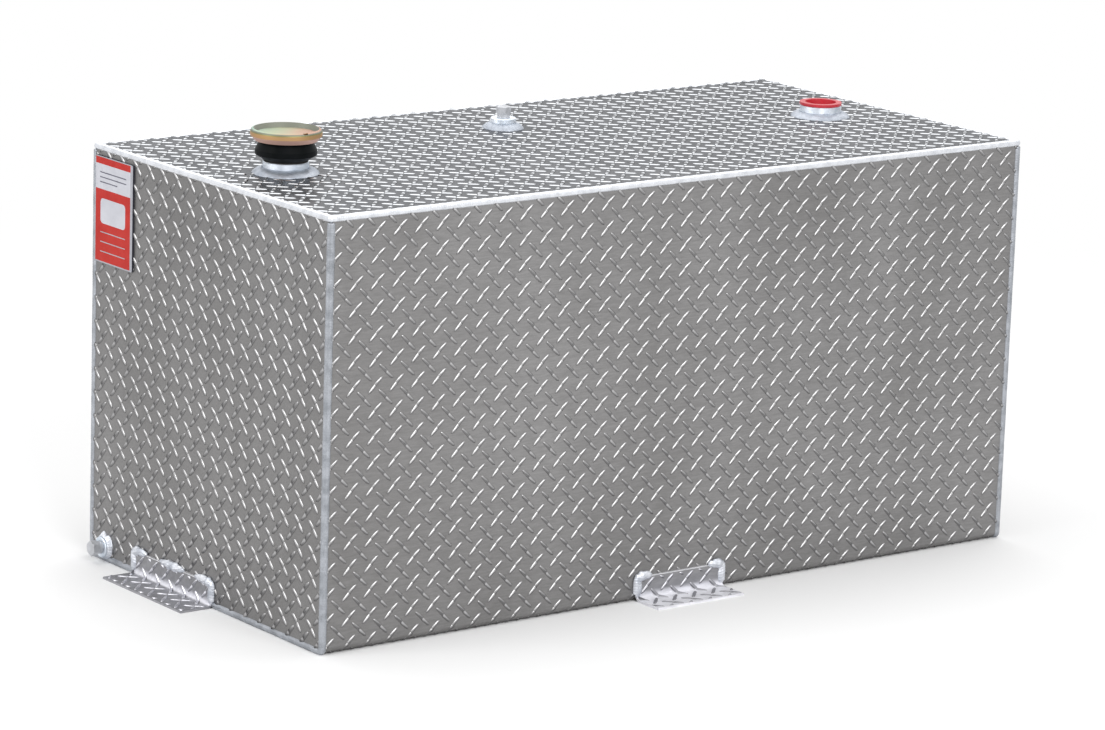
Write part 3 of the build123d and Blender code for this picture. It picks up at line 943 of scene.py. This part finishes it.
blob_rise = 37.0 * mm
blob_off = 2.5 * mm
blob_depth, blob_tall = 4.5 * mm, 6.5 * mm
patch_rise = 19.0 * mm
patch_inset = 2.0 * mm
patch_size = (7.0 * mm, 3.4 * mm, 15.0 * mm)
front_blobs = ((-64.0 * mm, 14.0 * mm), (64.0 * mm, 14.0 * mm))
end_blobs = ((-85.0 * mm, 19.0 * mm), (0.0, 33.0 * mm), (82.0 * mm, 23.0 * mm))
for side in ("front", "rear", "left", "right"):
    turn, width, shift, wall = brackets[side]
    around = Matrix.Rotation(math.radians(turn), 4, "Z")
    blobs = front_blobs if side in ("front", "rear") else end_blobs
    lumps = [((u, blob_rise), (long, blob_depth, blob_tall)) for u, long in blobs]
    lumps += [((end * (width / 2 - patch_inset), patch_rise), patch_size) for end in (-1, 1)]
    lumps = [(around @ Vector((shift + u, -wall - blob_off, z)), size) for (u, z), size in lumps]
    lumpy(f"bracket_{side}_beads", f"bracket_{side}_welds", "patch_bead", lumps, math.radians(turn))


# Printed face of the card: plain fields, an empty panel and ruled lines
def card_print():
    """Fields of the card, each a thin slab in its own layer; sizes inside are in mm."""
    bm = bmesh.new()
    white, red, grey, dark = range(4)
    layer_step = 0.08 * mm
    x_face = -(half_length + card_proud)
    left = card_place[0] + card_size[0] / 2
    top = card_place[1] + card_size[1] / 2
    card_wide, card_tall = card_size[0] / mm, card_size[1] / mm

    def rounded(u, v, wide, tall, corner):
        """Outline of a rectangle with round corners, its upper left at (u, v)."""
        u0, u1, v0, v1 = u + corner, u + wide - corner, v + corner, v + tall - corner
        outline = []
        for cu, cv, first in ((u1, v0, 0), (u0, v0, 90), (u0, v1, 180), (u1, v1, 270)):
            for k in range(5):
                a = math.radians(first + 22.5 * k)
                outline.append((cu + corner * math.cos(a), cv - corner * math.sin(a)))
        return outline

    def field(u, v, wide, tall, layer, index, corner=0.0):
        """Slab with its upper left at (u, v) from the card's own, seen from outside."""
        outline = [(u + wide, v), (u, v), (u, v + tall), (u + wide, v + tall)]
        if corner:
            outline = rounded(u, v, wide, tall, corner)
        near = x_face - layer * layer_step
        rings = []
        for x in (near, x_face + 0.05 * mm):
            rings.append([bm.verts.new((x, left - a * mm, top - b * mm)) for a, b in outline])
        faces = [bm.faces.new(rings[0]), bm.faces.new(rings[1][::-1])]
        for i in range(len(outline)):
            faces.append(bm.faces.new((rings[0][i - 1], rings[0][i], rings[1][i], rings[1][i - 1])))
        for face in faces:
            face.material_index = index

    field(0, 0, card_wide, card_tall, 1, grey, 3.0)
    field(0.8, 1.5, 92, 9.5, 2, red)
    field(0.8, 11, 92, 36, 2, white)
    field(0.8, 47, 92, 104, 2, red)
    for v, wide in ((22, 70), (29, 70), (36, 46)):
        field(12, v, wide, 1.6, 3, dark)
    field(14, 60, 66, 36, 3, white, 6.0)
    for v in (108, 122, 136):
        field(14, v, 66, 1.4, 3, grey)
    mesh = mesh_from(bm, "label_print", False)
    finish_piece("label_print", mesh, ["card_white", "card_red", "card_grey", "card_dark"])


card_print()


# Materials of the solids that stay
finishes = {
    "plate": ["wrap_sheet", "end_panel_left", "end_panel_right", "baffle_left", "baffle_right"],
    "top_plate": ["top_panel"],
    "bracket": ["bracket_front", "bracket_rear"],
    "end_bracket": ["bracket_left", "bracket_right"],
    "turned": ["fill_neck", "vent_bung", "pump_bung", "drain_bung"],
    "rubber": ["fill_cap_gasket"],
    "black": ["fill_cap_body"],
    "plated": ["fill_cap_cover"],
    "grey_plug": ["vent_plug", "drain_plug"],
    "red": ["pump_port_plug"],
    "card_edge": ["label_plate"],
    "bead": ["top_seam_weld"],
    "corner_bead": ["end_seam_weld_left", "end_seam_weld_right"],
    "patch_bead": [f"bracket_{side}_welds" for side in brackets],
    "ring_bead": ["fill_neck_weld", "vent_bung_weld", "pump_bung_weld", "drain_bung_weld"],
}
for look, names in finishes.items():
    for name in names:
        slots = nodes[name].data.materials
        if len(slots):
            for i in range(len(slots)):
                slots[i] = looks[look]
        else:
            slots.append(looks[look])


# Floor, light and camera
shadow_reach = 0.9
glow_reach = 2.6


def floor_material():
    """White floor that takes the shadow near the tank and glows white farther out."""
    mat = bpy.data.materials.new("studio_floor")
    mat.use_nodes = True
    tree = mat.node_tree
    tree.nodes.clear()
    out = node(tree, "ShaderNodeOutputMaterial")
    paint = node(tree, "ShaderNodeBsdfDiffuse", {"Color": (0.93, 0.93, 0.93, 1)})
    glow = node(tree, "ShaderNodeEmission", {"Color": (1, 1, 1, 1), "Strength": 1.0})
    coords = node(tree, "ShaderNodeTexCoord")
    distance = node(tree, "ShaderNodeVectorMath", operation="LENGTH")
    tree.links.new(coords.outputs["Object"], distance.inputs[0])
    limits = {"From Min": shadow_reach, "From Max": glow_reach}
    fade = node(tree, "ShaderNodeMapRange", limits, interpolation_type="SMOOTHSTEP")
    tree.links.new(distance.outputs["Value"], fade.inputs["Value"])
    mix = node(tree, "ShaderNodeMixShader")
    tree.links.new(fade.outputs["Result"], mix.inputs["Fac"])
    tree.links.new(paint.outputs["BSDF"], mix.inputs[1])
    tree.links.new(glow.outputs["Emission"], mix.inputs[2])
    tree.links.new(mix.outputs["Shader"], out.inputs["Surface"])
    return mat


floor_reach = 60.0
floor_signs = ((-1, -1), (1, -1), (1, 1), (-1, 1))
floor_corners = [(x * floor_reach, y * floor_reach, 0) for x, y in floor_signs]
floor_mesh = bpy.data.meshes.new("studio_floor")
floor_mesh.from_pydata(floor_corners, [], [(0, 1, 2, 3)])
floor_mesh.materials.append(floor_material())
floor = bpy.data.objects.new("studio_floor", floor_mesh)
bpy.context.scene.collection.objects.link(floor)
floor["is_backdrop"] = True


def softbox(name, spot, aim, wide, tall, power):
    """Area lamp at spot that faces aim and that the camera doesn't see."""
    data = bpy.data.lights.new(name, "AREA")
    data.shape = "RECTANGLE"
    data.size, data.size_y = wide, tall
    data.energy = power
    lamp = bpy.data.objects.new(name, data)
    bpy.context.scene.collection.objects.link(lamp)
    lamp.location = spot
    lamp.rotation_mode = "QUATERNION"
    lamp.rotation_quaternion = (Vector(aim) - Vector(spot)).to_track_quat("-Z", "Y")
    lamp.visible_camera = False


softbox("front_softbox", (-0.8, -4.2, 2.7), (0, 0, 0.3), 3.4, 2.2, 125)
softbox("left_softbox", (-4.8, 0.5, 2.4), (-0.6, 0, 0.3), 2.6, 2.2, 85)
softbox("top_softbox", (0.9, 1.3, 4.2), (0, 0, 0.6), 6.8, 6.2, 170)


def studio_world():
    """White where the camera, gloss or glass sees it, and a softer light on the rest."""
    world = bpy.data.worlds.new("studio_world")
    world.use_nodes = True
    tree = world.node_tree
    tree.nodes.clear()
    out = node(tree, "ShaderNodeOutputWorld")
    shown = node(tree, "ShaderNodeBackground", {"Color": (1, 1, 1, 1), "Strength": 1.0})
    lit = node(tree, "ShaderNodeBackground", {"Color": (1, 1, 1, 1), "Strength": 0.45})
    ways = node(tree, "ShaderNodeLightPath")
    seen = node(tree, "ShaderNodeMath", operation="MAXIMUM")
    seen_or_through = node(tree, "ShaderNodeMath", operation="MAXIMUM")
    tree.links.new(ways.outputs["Is Camera Ray"], seen.inputs[0])
    tree.links.new(ways.outputs["Is Glossy Ray"], seen.inputs[1])
    tree.links.new(seen.outputs["Value"], seen_or_through.inputs[0])
    tree.links.new(ways.outputs["Is Transmission Ray"], seen_or_through.inputs[1])
    mix = node(tree, "ShaderNodeMixShader")
    tree.links.new(seen_or_through.outputs["Value"], mix.inputs["Fac"])
    tree.links.new(lit.outputs["Background"], mix.inputs[1])
    tree.links.new(shown.outputs["Background"], mix.inputs[2])
    tree.links.new(mix.outputs["Shader"], out.inputs["Surface"])
    return world


bpy.context.scene.world = studio_world()
bpy.context.scene.view_settings.view_transform = "Standard"

# Camera where the photograph's was, as the corners of the box give it
lens = 156.48
camera_place = (-4.11030, -5.43838, 1.85271)
right = Vector((0.8025133, -0.5958014, 0.0315128))
down = Vector((-0.1100160, -0.1996843, -0.9736646))
ahead = Vector((0.5864033, 0.7779119, -0.2257970))
camera_data = bpy.data.cameras.new("photo_camera")
camera_data.sensor_fit = "HORIZONTAL"
camera_data.sensor_width = 36.0
camera_data.lens = lens
camera_data.clip_start = 0.1
camera_data.clip_end = 200.0
camera = bpy.data.objects.new("photo_camera", camera_data)
bpy.context.scene.collection.objects.link(camera)
camera_turn = Matrix((right, -down, -ahead)).transposed().to_4x4()
camera.matrix_world = Matrix.Translation(camera_place) @ camera_turn
bpy.context.scene.camera = camera

low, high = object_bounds()
{"cad": [list(cad_box[0]), list(cad_box[1])], "visual": [list(low), list(high)]}
